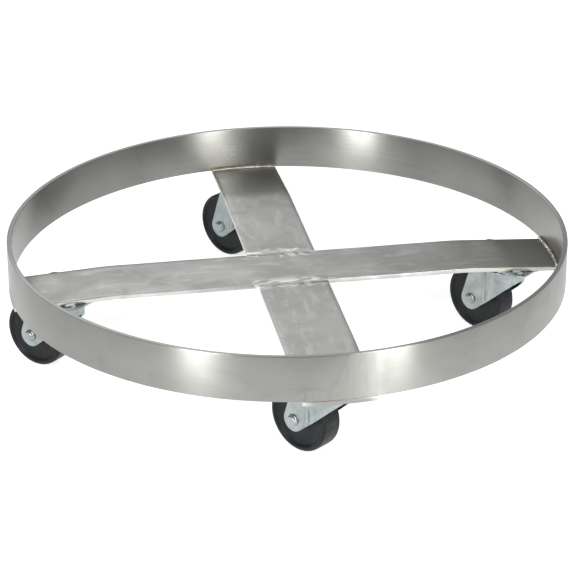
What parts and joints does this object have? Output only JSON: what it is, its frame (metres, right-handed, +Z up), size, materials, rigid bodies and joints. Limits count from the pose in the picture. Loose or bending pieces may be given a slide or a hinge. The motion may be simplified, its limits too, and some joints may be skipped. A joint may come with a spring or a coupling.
{
  "type": "drum dolly",
  "caption": "Rolled flat-bar ring standing on the ends of a cross of flat bars, carried by a swivel caster under each arm",
  "frame": {"origin": "on the floor, under the centre of the ring", "axes": "+Z up, +X along the unbroken cross bar towards the right-hand caster"},
  "size_m": [0.605, 0.6101, 0.145],
  "materials": {
    "ring": "satin stainless, brushed around the band",
    "bar": "satin stainless, mottled by hand polishing",
    "weld": "brushed weld bead",
    "zinc": "bright zinc plate, faintly blue",
    "ball": "polished",
    "axle": "turned",
    "wheel": "black, low sheen"
  },
  "bodies": {
    "frame": {"ring_band": "ring", "ring_seam_weld": "weld", "long_cross_bar": "bar", "rear_half_bar": "bar", "front_half_bar": "bar", "rear_centre_weld": "weld", "front_centre_weld": "weld", "right_ring_weld": "weld", "right_top_plate": "zinc", "right_plate_welds": "weld", "right_kingpin": "zinc", "right_race_cup": "zinc", "right_lower_balls": "ball", "rear_ring_weld": "weld", "rear_top_plate": "zinc", "rear_plate_welds": "weld", "rear_kingpin": "zinc", "rear_race_cup": "zinc", "rear_lower_balls": "ball", "left_ring_weld": "weld", "left_top_plate": "zinc", "left_plate_welds": "weld", "left_kingpin": "zinc", "left_race_cup": "zinc", "left_lower_balls": "ball", "front_ring_weld": "weld", "front_top_plate": "zinc", "front_plate_welds": "weld", "front_kingpin": "zinc", "front_race_cup": "zinc", "front_lower_balls": "ball"},
    "right_swivel_head": {"right_upper_balls": "ball", "right_fork": "zinc", "right_axle_sleeve": "axle", "right_hub_washers": "axle", "right_axle_bolt": "zinc", "right_axle_nut": "zinc"},
    "right_roller": {"right_wheel": "wheel"},
    "rear_swivel_head": {"rear_upper_balls": "ball", "rear_fork": "zinc", "rear_axle_sleeve": "axle", "rear_hub_washers": "axle", "rear_axle_bolt": "zinc", "rear_axle_nut": "zinc"},
    "rear_roller": {"rear_wheel": "wheel"},
    "left_swivel_head": {"left_upper_balls": "ball", "left_fork": "zinc", "left_axle_sleeve": "axle", "left_hub_washers": "axle", "left_axle_bolt": "zinc", "left_axle_nut": "zinc"},
    "left_roller": {"left_wheel": "wheel"},
    "front_swivel_head": {"front_upper_balls": "ball", "front_fork": "zinc", "front_axle_sleeve": "axle", "front_hub_washers": "axle", "front_axle_bolt": "zinc", "front_axle_nut": "zinc"},
    "front_roller": {"front_wheel": "wheel"}
  },
  "joints": [
    {"name": "right_swivel", "type": "hinge", "parent": "frame", "child": "right_swivel_head", "pos_m": [0.245, 0, 0.08], "axis": [0, 0, 1], "continuous": true},
    {"name": "right_roll", "type": "hinge", "parent": "right_swivel_head", "child": "right_roller", "pos_m": [0.22607, 0.02703, 0.0375], "axis": [-0.8192, -0.5736, 0], "continuous": true},
    {"name": "rear_swivel", "type": "hinge", "parent": "frame", "child": "rear_swivel_head", "pos_m": [0, 0.245, 0.08], "axis": [0, 0, 1], "continuous": true},
    {"name": "rear_roll", "type": "hinge", "parent": "rear_swivel_head", "child": "rear_roller", "pos_m": [-0.01986, 0.27136, 0.0375], "axis": [-0.7986, -0.6018, 0], "continuous": true},
    {"name": "left_swivel", "type": "hinge", "parent": "frame", "child": "left_swivel_head", "pos_m": [-0.245, 0, 0.08], "axis": [0, 0, 1], "continuous": true},
    {"name": "left_roll", "type": "hinge", "parent": "left_swivel_head", "child": "left_roller", "pos_m": [-0.26833, 0.02334, 0.0375], "axis": [-0.7071, -0.7071, 0], "continuous": true},
    {"name": "front_swivel", "type": "hinge", "parent": "frame", "child": "front_swivel_head", "pos_m": [0, -0.245, 0.08], "axis": [0, 0, 1], "continuous": true},
    {"name": "front_roll", "type": "hinge", "parent": "front_swivel_head", "child": "front_roller", "pos_m": [-0.01986, -0.21865, 0.0375], "axis": [-0.7986, -0.6018, 0], "continuous": true}
  ]
}
